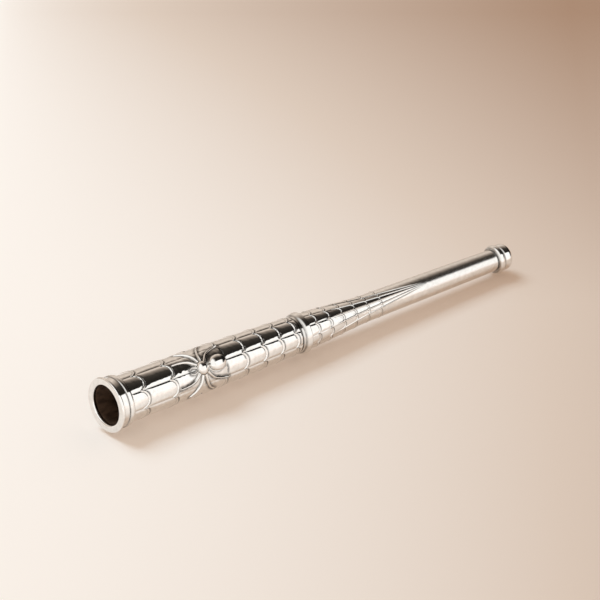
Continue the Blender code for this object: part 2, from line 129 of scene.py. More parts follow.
def node(tree, kind, **settings):
    """Add a node, setting its properties and, by name or number, its unlinked inputs."""
    made = tree.nodes.new("ShaderNode" + kind)
    for key, value in settings.items():
        if hasattr(made, key):
            setattr(made, key, value)
        else:
            made.inputs[int(key[1:]) if key[1:].isdigit() else key.replace("_", " ")].default_value = value
    return made


def link(tree, *ends):
    """Join sockets in pairs, from and to."""
    for source, target in zip(ends[::2], ends[1::2]):
        tree.links.new(source, target)


def ramp(tree, low, low_colour, high, high_colour):
    """A colour ramp between two greys or colours at two positions."""
    made = tree.nodes.new("ShaderNodeValToRGB")
    for stop, position, colour in zip(made.color_ramp.elements, (low, high), (low_colour, high_colour)):
        stop.position = position
        stop.color = (*colour, 1)
    return made


def new_material(name, **settings):
    """A material with its Principled shader's plain sockets set."""
    material = bpy.data.materials.new(name)
    material.use_nodes = True
    shader = material.node_tree.nodes["Principled BSDF"]
    for key, value in settings.items():
        shader.inputs[key.replace("_", " ")].default_value = value
    return material, material.node_tree, shader


# Streaks that run along the wand: the wiping of lacquer, and the grain of wood
streaks, inside, outside = new_group("streaks", {"Fineness": 300, "Stretch": 0.06}, {"Mask": "Float"})
coords = node(streaks, "TexCoord")
stretch = node(streaks, "CombineXYZ", Y=1.0, Z=1.0)
drawn = node(streaks, "VectorMath", operation="MULTIPLY")
noise = node(streaks, "TexNoise", Detail=6.0, Roughness=0.6)
link(streaks, inside.outputs["Stretch"], stretch.inputs["X"], coords.outputs["Object"], drawn.inputs[0],
     stretch.outputs[0], drawn.inputs[1], drawn.outputs[0], noise.inputs["Vector"],
     inside.outputs["Fineness"], noise.inputs["Scale"], noise.outputs["Fac"], outside.inputs["Mask"])

lacquer, tree, shader = new_material("brown_lacquer", Metallic=0.0)
wiped = node(tree, "Group", node_tree=streaks, Fineness=320.0, Stretch=0.4)
brown = ramp(tree, 0.3, (0.03, 0.018, 0.012), 0.75, (0.19, 0.12, 0.08))
gloss = ramp(tree, 0.3, (0.32,) * 3, 0.7, (0.6,) * 3)
relief = node(tree, "Bump", Strength=0.8, Distance=0.5 * MM)
link(tree, wiped.outputs["Mask"], brown.inputs["Fac"], brown.outputs["Color"], shader.inputs["Base Color"],
     wiped.outputs["Mask"], gloss.inputs["Fac"], gloss.outputs["Color"], shader.inputs["Roughness"],
     wiped.outputs["Mask"], relief.inputs["Height"], relief.outputs["Normal"], shader.inputs["Normal"])

SLEEVE_MOUTH_R = 11.7 * MM
SLEEVE_FRONT_R = 9.3 * MM
SLEEVE_SWELL = 1.8          # 1 is a straight cone, more keeps the handle full near the mouth
LINER_GAP = 0.8 * MM        # from the sleeve's outside to the liner's
LINER_WALL = 0.6 * MM
LINER_LINES = 40
SLEEVE_START, SLEEVE_END = span("handle_sleeve")


def sleeve_r(u):
    """Outer radius of the handle sleeve, without its web."""
    t = np.clip((u - SLEEVE_START) / (SLEEVE_END - SLEEVE_START), 0, 1)
    return SLEEVE_MOUTH_R + (SLEEVE_FRONT_R - SLEEVE_MOUTH_R) * t ** SLEEVE_SWELL


LINER_START, LINER_END = span("liner_tube")
liner_line = np.linspace(LINER_START, LINER_END, LINER_LINES)
outline = [(u, sleeve_r(u) - LINER_GAP) for u in liner_line]
outline += [(u, sleeve_r(u) - LINER_GAP - LINER_WALL) for u in reversed(liner_line)]
liner = turned("lacquered_liner", outline)
piece("lacquered_liner", liner, lacquer, "handle_body", ["liner_tube"])

# Handle sleeve
# Sheet silver worked into a web and polished: cells cushioned between long grooves, and bowed cross
# threads that are raised and chased along their edges. It is drawn over the liner and soldered at both
# ends. A smooth field is left for the spider.
HANDLE_THREADS = 8
HANDLE_RELIEF = 0.45 * MM   # how far a cross thread stands up
HANDLE_PILLOW = 0.38 * MM   # how far each cell swells out in its middle
FLAT_ACROSS, FLAT_ALONG = 6, 4  # more keeps a cell's swell flat further out from its middle
LEAST_BOW = 0.01            # keeps the ends of a bow from getting endlessly steep
LEAST_CELL = 0.01 * MM
HANDLE_THREAD_WIDTH = 1.1 * MM
CHASED_AT, CHASED_WIDTH = 1.25, 0.3  # the line beside a cross thread, in half widths of the thread
CHASED_DEPTH = 0.4          # of the relief
STAIN_AT, STAIN_SPREAD = 1.35, 0.75  # the tarnish and painted shade beside a thread, in the same measure
GROOVE_SPREAD = 0.6         # and in a long groove
UNSHADED_SIDE_SHARE = 0.2            # share of the dark line left on the side without painted shade
LONG_STAIN = 0.3            # tarnish and painted shade along a long line, as a share of a cross thread's
OUT_OF_REACH = 4 * MM       # a line that is moved off by this much leaves no trace
FIRST_RING = 18.5 * MM
RING_STEP = 17.9 * MM
RING_SHRINK = 0.91
RING_BULGE = 0.25           # how far a cross thread bows to the tip, as a share of its step
RING_ROUND = 2.2            # 2 is an ellipse, more makes the bow flatter in its middle
WEB_MARGIN = 1.2 * MM       # kept free between the last cross thread and the collar
SPIDER_ANGLE = radians(52)
THORAX_U = 52.6 * MM
THORAX_LENGTH = 6.4 * MM
THORAX_WIDTH = 6.8 * MM
THORAX_HEIGHT = 3.6 * MM
ABDOMEN_LENGTH = 11.6 * MM
ABDOMEN_WIDTH = 8.4 * MM
ABDOMEN_HEIGHT = 4.4 * MM
PALP_REACH = 7.2 * MM
BODY_GAP = 0.3 * MM         # between thorax and abdomen
ABDOMEN_U = THORAX_U + THORAX_LENGTH / 2 + BODY_GAP + ABDOMEN_LENGTH / 2
FIELD_BEHIND = 15.5 * MM    # the smooth field, towards the mouth
FIELD_AHEAD = 15.0 * MM     # towards the tip
FIELD_ANGLE = radians(76)   # and to each side
FIELD_EDGE, FIELD_FADE = 0.7, 0.4  # where in the field the web starts to rise, and over how much of it
RIPPLE = 0.006 * MM         # unevenness that hand work leaves in the sheet
RIPPLE_WAVES = 6
FIELD_RIPPLE = 4.5          # times as much in the field, which was beaten back for the spider
FIELD_PILLOW = 0.6          # how much of the cells' swell is left in the field
SLEEVE_WALL = 0.5 * MM
SLEEVE_LINES, SLEEVE_SIDES = 380, 432
INNER_LINES = 24


def eased(t):
    """Ease from 0 to 1 as t goes from 0 to 1."""
    t = np.clip(t, 0, 1)
    return t * t * (3 - 2 * t)


def ridge(to_thread, to_ring, width, long_height):
    """The web's height and darkness, by the distances from its long lines and its cross threads.

    A distance is below zero on one side of a thread, where the dark line beside it is cut down; on the other
    side it is kept full as painted shade, over the tarnish in the hollow. The cross threads are chased along
    their edges. A long line is raised by a share of its height, and for the rest a groove.
    """
    crossing = np.abs(to_ring) < np.abs(to_thread)
    distance = np.where(crossing, to_ring, to_thread)
    across_thread = 2 * np.abs(distance) / width
    crown = np.clip(1 - across_thread ** 2, 0, 1) * np.where(crossing, 1, long_height)
    chased = np.exp(-((across_thread - CHASED_AT) / CHASED_WIDTH) ** 2) * crossing
    # Tarnish beside each thread, made heavier on one side as painted shade.
    beside = np.exp(-((across_thread - STAIN_AT) / STAIN_SPREAD) ** 2) * np.where(distance < 0, UNSHADED_SIDE_SHARE, 1)
    groove = np.exp(-(across_thread / GROOVE_SPREAD) ** 2)
    along_line = LONG_STAIN * (beside * long_height + groove * (1 - long_height))
    return crown - CHASED_DEPTH * chased, np.where(crossing, beside, along_line)


def nearer(one, other):
    """The smaller of two distances, each with its own sign."""
    return np.where(np.abs(one) < np.abs(other), one, other)


def ripple(u, angle):
    """Slow unevenness of hand-worked sheet, from a few crossing waves."""
    total = 0
    for i in range(1, RIPPLE_WAVES + 1):
        total = total + np.sin(u / MM * (0.35 + 0.31 * i) + i * i) * np.sin(angle * (3 + 2 * i) + 1.7 * i)
    return RIPPLE * total


def relief_tube(name, lines, sides, outer, inner):
    """A closed tube with relief on its outside, and a recess attribute for the tarnish and painted shade
    beside it.
    """
    u, angle = np.meshgrid(lines, np.arange(sides) * 2 * pi / sides, indexing="ij")
    radius, recess = outer(u, angle)
    inner_lines = np.linspace(lines[-1], lines[0], INNER_LINES)
    inner_u, inner_angle = np.meshgrid(inner_lines, angle[0], indexing="ij")
    u, angle = np.vstack((u, inner_u)), np.vstack((angle, inner_angle))
    radius = np.vstack((radius, inner(inner_u)))
    recess = np.vstack((recess, np.zeros_like(inner_u)))
    points = np.stack((u, -radius * np.sin(angle), radius * np.cos(angle)), -1).reshape(-1, 3)
    index = np.arange(len(points)).reshape(u.shape)
    after, beside = np.roll(index, -1, 0), np.roll(index, -1, 1)
    faces = np.stack((index, beside, np.roll(beside, -1, 0), after), -1).reshape(-1, 4)
    mesh = bpy.data.meshes.new(name)
    mesh.from_pydata(points.tolist(), [], faces.tolist())
    mesh.attributes.new("recess", "FLOAT", "POINT").data.foreach_set("value", recess.ravel())
    mesh.shade_smooth()
    mesh.set_sharp_from_angle(angle=radians(60))
    return mesh


def web_share(u, angle):
    """How much of the web stands up here: none in the smooth field round the spider."""
    off = (angle - SPIDER_ANGLE + pi) % (2 * pi) - pi
    reach = np.where(u > THORAX_U, FIELD_AHEAD, FIELD_BEHIND)
    out = np.hypot(((u - THORAX_U) / reach) ** 2, (off / FIELD_ANGLE) ** 2)
    return eased((out - FIELD_EDGE) / FIELD_FADE)


def cells(u, t, cell_width, start, end, rings, bulges):
    """The distance to the nearest cross thread, and how far a cell swells, from 0 to 1."""
    x = np.abs(2 * t - 1)
    bow = np.sqrt(np.maximum(1 - x ** RING_ROUND, 0))
    steepness = RING_ROUND * x ** (RING_ROUND - 1) / np.sqrt(bow ** 2 + LEAST_BOW)
    distance = np.full_like(u, end - start)
    behind, ahead = np.full_like(u, start), np.full_like(u, end)
    for ring, bulge in zip(rings, bulges):
        line = ring - bulge + bulge * bow
        distance = nearer(distance, (u - line) / np.hypot(1, bulge * steepness / cell_width))
        behind = np.where(u >= line, line, behind)
        ahead = np.where(u < line, np.minimum(ahead, line), ahead)
    v = (u - behind) / np.maximum(ahead - behind, LEAST_CELL)
    return distance, (1 - x ** FLAT_ACROSS) * (1 - (2 * v - 1) ** FLAT_ALONG)


def handle_web(u, angle):
    """Outer radius of the sleeve, and the recess beside its threads."""
    base = sleeve_r(u)
    cell = 2 * pi / HANDLE_THREADS
    t = (angle - SPIDER_ANGLE) / cell % 1
    share = web_share(u, angle)
    own_thread = np.abs((angle - SPIDER_ANGLE + pi) % (2 * pi) - pi) < cell / 2
    spider_front = ABDOMEN_U + ABDOMEN_LENGTH / 2
    thread_share = np.where(own_thread, (u < THORAX_U - PALP_REACH) | (u > spider_front), share)
    rings, steps = [FIRST_RING], [RING_STEP]
    while rings[-1] + steps[-1] + WEB_MARGIN < SLEEVE_END:
        rings.append(rings[-1] + steps[-1])
        steps.append(steps[-1] * RING_SHRINK)
    bulges = [RING_BULGE * step for step in steps]
    to_ring, swell = cells(u, t, cell * base, SLEEVE_START, SLEEVE_END, rings, bulges)
    to_thread = np.where(t < 0.5, t, t - 1) * cell * base
    to_thread += np.sign(to_thread) * (1 - thread_share) * OUT_OF_REACH
    to_ring += np.sign(to_ring) * (1 - share) * OUT_OF_REACH
    height, recess = ridge(to_thread, to_ring, HANDLE_THREAD_WIDTH, 0)
    pillow = HANDLE_PILLOW * swell * (FIELD_PILLOW + (1 - FIELD_PILLOW) * share)
    uneven = ripple(u, angle) * (FIELD_RIPPLE + (1 - FIELD_RIPPLE) * share)
    return base + HANDLE_RELIEF * height + pillow + uneven, recess


# Finish of the silver: cloudy polish, hairline scratches, and dark tarnish left in the recesses, with painted
# shade added to it beside the web's threads and round the spider
worked, inside, outside = new_group(
    "worked_silver", {"Recess": 0, "Tarnish": 0.8, "Cloud": 0.3, "Hairlines": 0.5},
    {"Colour": "Color", "Roughness": "Float", "Height": "Float"})
coords = node(worked, "TexCoord")
cloud = node(worked, "TexNoise", Scale=420.0, Detail=5.0, Roughness=0.6)
stretched = node(worked, "VectorMath", operation="MULTIPLY", _1=(0.15, 1.0, 1.0))
hairs = node(worked, "TexNoise", Scale=5200.0, Detail=2.0)
patchy = node(worked, "MapRange", _1=0.35, _2=0.7, _3=0.55, _4=1.0)
stain = node(worked, "Math", operation="MULTIPLY")
stain_share = node(worked, "Math", operation="MULTIPLY", use_clamp=True)
silver = ramp(worked, 0.35, (0.81, 0.795, 0.772), 0.65, (0.9, 0.89, 0.872))
tint = node(worked, "Mix", data_type="RGBA", _7=(0.06, 0.052, 0.045, 1))
cloud_gloss = node(worked, "Math", operation="MULTIPLY_ADD", _2=0.02)
stain_gloss = node(worked, "Math", operation="MULTIPLY_ADD", _1=0.3)
cloud_height = node(worked, "Math", operation="MULTIPLY")
hair_height = node(worked, "Math", operation="MULTIPLY")
height = node(worked, "Math", operation="ADD")
cloud_rough = node(worked, "Math", operation="MULTIPLY", _1=0.16)
link(worked, coords.outputs["Object"], cloud.inputs["Vector"], coords.outputs["Object"], stretched.inputs[0],
     stretched.outputs[0], hairs.inputs["Vector"], cloud.outputs["Fac"], patchy.inputs[0],
     inside.outputs["Recess"], stain.inputs[0], patchy.outputs[0], stain.inputs[1],
     stain.outputs[0], stain_share.inputs[0], inside.outputs["Tarnish"], stain_share.inputs[1],
     cloud.outputs["Fac"], silver.inputs["Fac"], silver.outputs["Color"], tint.inputs[6],
     stain_share.outputs[0], tint.inputs[0], tint.outputs[2], outside.inputs["Colour"],
     inside.outputs["Cloud"], cloud_rough.inputs[0], cloud_rough.outputs[0], cloud_gloss.inputs[1],
     cloud.outputs["Fac"], cloud_gloss.inputs[0], stain_share.outputs[0], stain_gloss.inputs[0],
     cloud_gloss.outputs[0], stain_gloss.inputs[2], stain_gloss.outputs[0], outside.inputs["Roughness"],
     cloud.outputs["Fac"], cloud_height.inputs[0], inside.outputs["Cloud"], cloud_height.inputs[1],
     hairs.outputs["Fac"], hair_height.inputs[0], inside.outputs["Hairlines"], hair_height.inputs[1],
     cloud_height.outputs[0], height.inputs[0], hair_height.outputs[0], height.inputs[1],
     height.outputs[0], outside.inputs["Height"])


def silver_finish(name, tarnish, cloudiness, hairlines, depth):
    """Polished silver with its own share of tarnish, cloud and hairline scratches."""
    material, tree, shader = new_material(name, Metallic=1.0)
    surface = node(tree, "Group", node_tree=worked, Tarnish=tarnish, Cloud=cloudiness, Hairlines=hairlines)
    recess = node(tree, "Attribute", attribute_name="recess")
    relief = node(tree, "Bump", Strength=0.35, Distance=depth)
    link(tree, recess.outputs["Fac"], surface.inputs["Recess"],
         surface.outputs["Colour"], shader.inputs["Base Color"],
         surface.outputs["Roughness"], shader.inputs["Roughness"],
         surface.outputs["Height"], relief.inputs["Height"],
         relief.outputs["Normal"], shader.inputs["Normal"])
    return material


raised_silver = silver_finish("raised_silver", 1.0, 0.5, 0.12, 0.1 * MM)
sleeve_lines = np.linspace(SLEEVE_START, SLEEVE_END, SLEEVE_LINES)
sleeve = relief_tube("web_sleeve", sleeve_lines, SLEEVE_SIDES, handle_web,
                     lambda u: sleeve_r(u) - SLEEVE_WALL)
piece("web_sleeve", sleeve, raised_silver, "handle_body", ["handle_sleeve"])

# Mouth ferrule
# A ring turned from bar silver: a flat-faced lip with a rounded edge, a bare band and a bead.
# It is soldered over the liner's end and hides the sleeve's edge.
LIP_R = 14.2 * MM
LIP_LENGTH = 1.9 * MM
BAND_R = 12.7 * MM
BAND_LENGTH = 3.6 * MM
BEAD_R = 13.5 * MM
BEAD_LENGTH = 3.0 * MM
MOUTH_CHAMFER = 1.0 * MM
BAND_HOLLOW = 0.2 * MM
SEAT_GAP = 0.3 * MM
FERRULE_STAIN = 0.35 * MM
ferrule_end = span("mouth_ferrule")[1]
mouth_r = SLEEVE_MOUTH_R - LINER_GAP - LINER_WALL
seat_r = SLEEVE_MOUTH_R - LINER_GAP + SEAT_GAP


def tarnish_grooves(mesh, grooves, width):
    """Mark the vertices near these lengths as recesses where tarnish stays."""
    values = [max(np.exp(-((vertex.co.x - u) / width) ** 2) for u in grooves) for vertex in mesh.vertices]
    mesh.attributes.new("recess", "FLOAT", "POINT").data.foreach_set("value", values)


lip_half = LIP_LENGTH / 2
bead_middle = LIP_LENGTH + BAND_LENGTH + BEAD_LENGTH / 2
band_middle = LIP_LENGTH + BAND_LENGTH / 2
outline = arc(MOUTH_CHAMFER, mouth_r + MOUTH_CHAMFER, MOUTH_CHAMFER, MOUTH_CHAMFER, 270, 180, 6)
outline += arc(lip_half, LIP_R - lip_half, lip_half, lip_half, 180, 0, 20)
outline += [(LIP_LENGTH, BAND_R + BAND_HOLLOW)]
outline += arc(band_middle, BAND_R + BAND_HOLLOW, BAND_LENGTH / 2, -BAND_HOLLOW, 180, 0, 8)[1:-1]
outline += arc(bead_middle, BAND_R, BEAD_LENGTH / 2, BEAD_R - BAND_R, 180, 0, 18)
outline += [(ferrule_end, seat_r), (LIP_LENGTH, seat_r), (LIP_LENGTH, mouth_r)]
ferrule = turned("turned_ferrule", outline)
tarnish_grooves(ferrule, (LIP_LENGTH, LIP_LENGTH + BAND_LENGTH, ferrule_end), FERRULE_STAIN)
turned_silver = silver_finish("turned_silver", 0.8, 0.35, 0.15, 0.04 * MM)
piece("turned_ferrule", ferrule, turned_silver, "handle_body", ["mouth_ferrule"])

# Spider
# Cast in silver in pieces: thorax and abdomen are solid bosses, the abdomen on a thin rim, and the legs
# and palps are half-round wires bent to the handle. All are soldered down on the smooth field.
SOLDERED = 0.12 * MM        # how far each piece is let into the sleeve
# A dark line on the sleeve round each of the spider's pieces: tarnish at the solder line, and painted contact
# shade.
SPIDER_DARK_WIDTH = 0.7 * MM
SPIDER_DARK_REACH = 22 * MM       # along the handle from the thorax, where the spider's tarnish and painted shade end
BOSS_SIDES = 64
RIM_HEIGHT = 0.16           # of the abdomen's height
RIM_INSET = 0.9             # where the abdomen rises from its rim, as a share of its half size
LEG_WIDTH = 1.7 * MM
LEG_HEIGHT = 1.5 * MM
LEG_FOOT_SHARE = 0.5        # a leg's size at its end, as a share of that at its root
LEG_STEPS, LEG_FACETS = 40, 10
HEADING_STEP = 0.02         # of a wire's run, to each side, to find its direction
END_STEEPNESS, END_LEAST = 14, 0.12  # how quickly a wire rounds off, and what is left at its end
PALP_SHARE = 0.75           # a palp's width and height, as a share of a leg's
LEG_ROUTES = (
    (140, (-6.2, 25), (-10.5, 31), (-15.0, 32)),
    (106, (-2.3, 36), (-5.0, 55), (-8.5, 69)),
    (74, (1.8, 38), (4.0, 57), (7.4, 71)),
    (43, (6.0, 31), (11.0, 41), (15.5, 46)),
)
PALP_ROUTE = (164, (-5.0, 8), (-6.3, 7), (-PALP_REACH / MM, 5))
cast_silver = silver_finish("cast_silver", 0.9, 0.2, 0.08, 0.012 * MM)


def loft(name, loops):
    """A closed smooth mesh over loops with equal point counts, capped at both ends."""
    bm = bmesh.new()
    rings = [[bm.verts.new(point) for point in loop] for loop in loops]
    for ring, after in zip(rings, rings[1:]):
        for i in range(len(ring)):
            bm.faces.new((ring[i - 1], ring[i], after[i], after[i - 1]))
    bm.faces.new(rings[0])
    bm.faces.new(rings[-1])
    bmesh.ops.recalc_face_normals(bm, faces=bm.faces)
    if bm.calc_volume(signed=True) < 0:
        bmesh.ops.reverse_faces(bm, faces=bm.faces)
    mesh = bpy.data.meshes.new(name)
    bm.to_mesh(mesh)
    bm.free()
    mesh.shade_smooth()
    mesh.set_sharp_from_angle(angle=radians(50))
    return mesh


def tarnish_and_shade_round(points, inset):
    """Darken the sleeve in a line this far out from a run of points: tarnish at the solder line, and painted
    contact shade.
    """
    values = np.zeros(len(sleeve.vertices))
    places = np.zeros(3 * len(values))
    recess = sleeve.attributes["recess"].data
    recess.foreach_get("value", values)
    sleeve.vertices.foreach_get("co", places)
    places = places.reshape(-1, 3)
    field = np.flatnonzero(np.abs(places[:, 0] - THORAX_U) < SPIDER_DARK_REACH)
    gaps = np.min([np.linalg.norm(places[field] - np.array(point), axis=1) for point in points], axis=0)
    values[field] = np.maximum(values[field], np.exp(-((gaps - inset) / SPIDER_DARK_WIDTH) ** 2))
    recess.foreach_set("value", values)


def boss(name, u_middle, length, width, height, profile):
    """A cast oval boss on the handle, from a profile of (share of the half size, share of the height)."""
    def loop(share, lift):
        points = []
        for i in range(BOSS_SIDES):
            a = 2 * pi * i / BOSS_SIDES
            u = u_middle + share * length / 2 * cos(a)
            r = float(sleeve_r(u))
            points.append(at(u, r - SOLDERED + height * lift, SPIDER_ANGLE + share * width / 2 * sin(a) / r))
        return points
    tarnish_and_shade_round(loop(1, 0), 0)
    return loft(name, [loop(share, lift) for share, lift in profile])


crown = [(sin(radians(a)), cos(radians(a))) for a in range(3, 91, 4)]
thorax_profile = crown + [(0.97, 0), (0.3, 0)]
abdomen_profile = [(RIM_INSET * share, RIM_HEIGHT + (1 - RIM_HEIGHT) * lift) for share, lift in crown]
abdomen_profile += [(0.93, RIM_HEIGHT * 0.9), (0.97, RIM_HEIGHT * 0.95), (1.0, RIM_HEIGHT * 0.7)]
abdomen_profile += [(1.0, 0), (0.3, 0)]
thorax = boss("spider_body", THORAX_U, THORAX_LENGTH, THORAX_WIDTH, THORAX_HEIGHT, thorax_profile)
piece("spider_body", thorax, cast_silver, "handle_body", ["spider_thorax"])
abdomen = boss("spider_back", ABDOMEN_U, ABDOMEN_LENGTH, ABDOMEN_WIDTH, ABDOMEN_HEIGHT, abdomen_profile)
piece("spider_back", abdomen, cast_silver, "handle_body", ["spider_abdomen"])


def along_curve(points, t):
    """A point on a smooth curve through all the points, with t from 0 to 1."""
    place = t * (len(points) - 1)
    i = min(int(place), len(points) - 2)
    t = place - i
    b, c = Vector(points[i]), Vector(points[i + 1])
    a = Vector(points[i - 1]) if i else 2 * b - c
    d = Vector(points[i + 2]) if i + 2 < len(points) else 2 * c - b
    bend = t * t / 2 * (2 * a - 5 * b + 4 * c - d) + t ** 3 / 2 * (3 * b - a - 3 * c + d)
    return b + t / 2 * (c - a) + bend


def wire(name, route, side, scale):
    """A half-round wire from the thorax's edge along its bends, thinner towards its end."""
    root, *bends = route
    start_u = THORAX_LENGTH / 2 * cos(radians(root))
    start_turn = THORAX_WIDTH / 2 * sin(radians(root)) / float(sleeve_r(THORAX_U))
    points = [(start_u, start_turn)] + [(u * MM, radians(turn)) for u, turn in bends]

    def on_handle(t):
        u, turn = along_curve(points, t)
        u, angle = THORAX_U + u, SPIDER_ANGLE + side * turn
        r = float(sleeve_r(u) + HANDLE_RELIEF * web_share(u, angle)) - SOLDERED
        return at(u, r, angle)

    loops = []
    for i in range(LEG_STEPS + 1):
        t = i / LEG_STEPS
        tail = min(1, (1 - t) * END_STEEPNESS + END_LEAST) ** 0.5
        taper = (1 - (1 - LEG_FOOT_SHARE) * t) * scale * tail
        here = on_handle(t)
        ahead, behind = on_handle(min(t + HEADING_STEP, 1)), on_handle(max(t - HEADING_STEP, 0))
        heading = (ahead - behind).normalized()
        out = Vector((0, here.y, here.z)).normalized()
        aside = heading.cross(out).normalized() * LEG_WIDTH / 2 * taper
        lift = out * (LEG_HEIGHT + SOLDERED) * taper
        turns = [pi * k / LEG_FACETS for k in range(LEG_FACETS + 1)]
        loops.append([here + aside * cos(a) + lift * sin(a) for a in turns])
    tarnish_and_shade_round([on_handle(i / LEG_STEPS) for i in range(LEG_STEPS + 1)], LEG_WIDTH / 2 * scale)
    return loft(name, loops)


for side, side_name in ((-1, "upper"), (1, "lower")):
    for number, route in enumerate(LEG_ROUTES, 1):
        leg_name = f"spider_wire_{side_name}_{number}"
        piece(leg_name, wire(leg_name, route, side, 1), cast_silver, "handle_body",
              [f"spider_leg_{side_name}_{number}"])
    palp_name = f"spider_feeler_{side_name}"
    piece(palp_name, wire(palp_name, PALP_ROUTE, side, PALP_SHARE), cast_silver, "handle_body",
          [f"spider_palp_{side_name}"])

# Joint bush
# A blind plug turned from brass bar and tapped for the screw, pressed into the liner's front end.
# Its back is the floor of the bore, and its neck carries the collar.
turning, inside, outside = new_group("turning_marks", {"Fineness": 2500}, {"Height": "Float"})
coords = node(turning, "TexCoord")
split = node(turning, "SeparateXYZ")
rings = node(turning, "TexNoise", noise_dimensions="1D", Detail=3.0)
link(turning, coords.outputs["Object"], split.inputs[0], split.outputs["X"], rings.inputs["W"],
     inside.outputs["Fineness"], rings.inputs["Scale"], rings.outputs["Fac"], outside.inputs["Height"])

brass, tree, shader = new_material("turned_brass", Metallic=1.0)
marks = node(tree, "Group", node_tree=turning)
aged = node(tree, "TexNoise", Scale=260.0, Detail=4.0)
yellow = ramp(tree, 0.35, (0.5, 0.34, 0.14), 0.65, (0.74, 0.56, 0.28))
gloss = ramp(tree, 0.3, (0.2,) * 3, 0.7, (0.38,) * 3)
relief = node(tree, "Bump", Strength=0.3, Distance=0.04 * MM)
link(tree, aged.outputs["Fac"], yellow.inputs["Fac"], yellow.outputs["Color"], shader.inputs["Base Color"],
     aged.outputs["Fac"], gloss.inputs["Fac"], gloss.outputs["Color"], shader.inputs["Roughness"],
     marks.outputs["Height"], relief.inputs["Height"], relief.outputs["Normal"], shader.inputs["Normal"])


def finish_node(name, material):
    """Give a CAD node that stays in view its material."""
    slots = frame["nodes"][name].data.materials
    slots.clear()
    slots.append(material)


finish_node("joint_bush", brass)

# Collar
# Turned from bar silver: a low hollow on the handle's side, then a ring that slopes up to its crest
# and drops off to the shaft. It is soldered on the bush's neck and covers the end of the sleeve.
COLLAR_R = 10.8 * MM
COLLAR_FOOT_R = 9.4 * MM
COLLAR_BORE_R = 7.7 * MM
HOLLOW_LENGTH = 1.6 * MM
CREST_LENGTH = 0.7 * MM
BACK_SLOPE = 40             # degrees, at the foot of the ring
COLLAR_STAIN = 0.55 * MM
collar_start, collar_end = span("collar_ring")
ring_start = collar_start + HOLLOW_LENGTH
crest = collar_end - CREST_LENGTH
back_r = (crest - ring_start) / sin(radians(BACK_SLOPE))
ring_foot_r = COLLAR_R - back_r * (1 - cos(radians(BACK_SLOPE)))
outline = [(collar_start, COLLAR_BORE_R)]
outline += arc(collar_start, ring_foot_r, HOLLOW_LENGTH, ring_foot_r - COLLAR_FOOT_R, 270, 360, 10)[:-1]
outline += arc(crest, COLLAR_R - back_r, back_r, back_r, 90 + BACK_SLOPE, 90, 18)[:-1]
outline += arc(crest, ring_foot_r, CREST_LENGTH, COLLAR_R - ring_foot_r, 90, 0, 12)
outline += [(collar_end, COLLAR_BORE_R)]
collar = turned("turned_collar", outline)
tarnish_grooves(collar, (collar_start, ring_start, collar_end), COLLAR_STAIN)
piece("turned_collar", collar, turned_silver, "handle_body", ["collar_ring"])

# Joint washer
# A ring cut from leather, slipped over the screw. It is pinched when the shaft is screwed home.
leather, tree, shader = new_material("cut_leather", Metallic=0.0)
pores = node(tree, "TexVoronoi", Scale=2600.0)
hide = node(tree, "TexNoise", Scale=500.0, Detail=4.0)
tan = ramp(tree, 0.3, (0.13, 0.065, 0.035), 0.7, (0.26, 0.145, 0.08))
gloss = ramp(tree, 0.3, (0.65,) * 3, 0.7, (0.85,) * 3)
relief = node(tree, "Bump", Strength=0.5, Distance=0.1 * MM)
link(tree, hide.outputs["Fac"], tan.inputs["Fac"], tan.outputs["Color"], shader.inputs["Base Color"],
     hide.outputs["Fac"], gloss.inputs["Fac"], gloss.outputs["Color"], shader.inputs["Roughness"],
     pores.outputs["Distance"], relief.inputs["Height"], relief.outputs["Normal"], shader.inputs["Normal"])
finish_node("joint_washer", leather)

# Joint spigot
# A brass screw with a plain pilot in front of its right-hand thread, fixed in the shaft's core.
# The thread shows when the shaft is screwed out.
PITCH = 2.5 * MM
SPIGOT_R = 4.75 * MM
THREAD_DEPTH = 0.55 * MM
PILOT_R = 3.9 * MM
PILOT_LENGTH = 4.0 * MM
RUN_IN = 0.6                # turns in which the thread starts
FLANK, CREST_FLAT = 1.3, 0.15  # steepness of the thread's sides, and how flat its crest is
SPIGOT_LINES, THREAD_SIDES = 220, 72
spigot_start, spigot_end = span("joint_spigot")
shaft_start, shaft_end = span("shaft")


def spigot_r(u, angle):
    """Radius of the screw: a pilot, a thread that runs in and out, and a plain end in the core."""
    thread = np.abs(((u - spigot_start) / PITCH + angle / (2 * pi)) % 1 - 0.5) * 2
    start = eased((u - spigot_start - PILOT_LENGTH) / (RUN_IN * PITCH))
    run_out = 1 - eased((u - shaft_start + PITCH) / PITCH)
    cut = SPIGOT_R - THREAD_DEPTH * eased(thread * FLANK - CREST_FLAT) * run_out
    return PILOT_R + (cut - PILOT_R) * start


loops = []
for u in np.linspace(spigot_start, spigot_end, SPIGOT_LINES):
    turns = [2 * pi * i / THREAD_SIDES for i in range(THREAD_SIDES)]
    loops.append([at(u, float(spigot_r(u, a)), a) for a in turns])
piece("screw_spigot", loft("screw_spigot", loops), brass, "shaft_body", ["joint_spigot"])

# Shaft core
# A rod turned from hardwood, which stops the silver tube from bending. It is drilled at both ends.
hardwood, tree, shader = new_material("turned_hardwood", Metallic=0.0)
grain = node(tree, "Group", node_tree=streaks, Fineness=900.0, Stretch=0.05)
brown = ramp(tree, 0.35, (0.05, 0.024, 0.012), 0.7, (0.19, 0.1, 0.055))
gloss = ramp(tree, 0.3, (0.5,) * 3, 0.7, (0.7,) * 3)
relief = node(tree, "Bump", Strength=0.3, Distance=0.1 * MM)
link(tree, grain.outputs["Mask"], brown.inputs["Fac"], brown.outputs["Color"], shader.inputs["Base Color"],
     grain.outputs["Mask"], gloss.inputs["Fac"], gloss.outputs["Color"], shader.inputs["Roughness"],
     grain.outputs["Mask"], relief.inputs["Height"], relief.outputs["Normal"], shader.inputs["Normal"])
finish_node("shaft_core", hardwood)

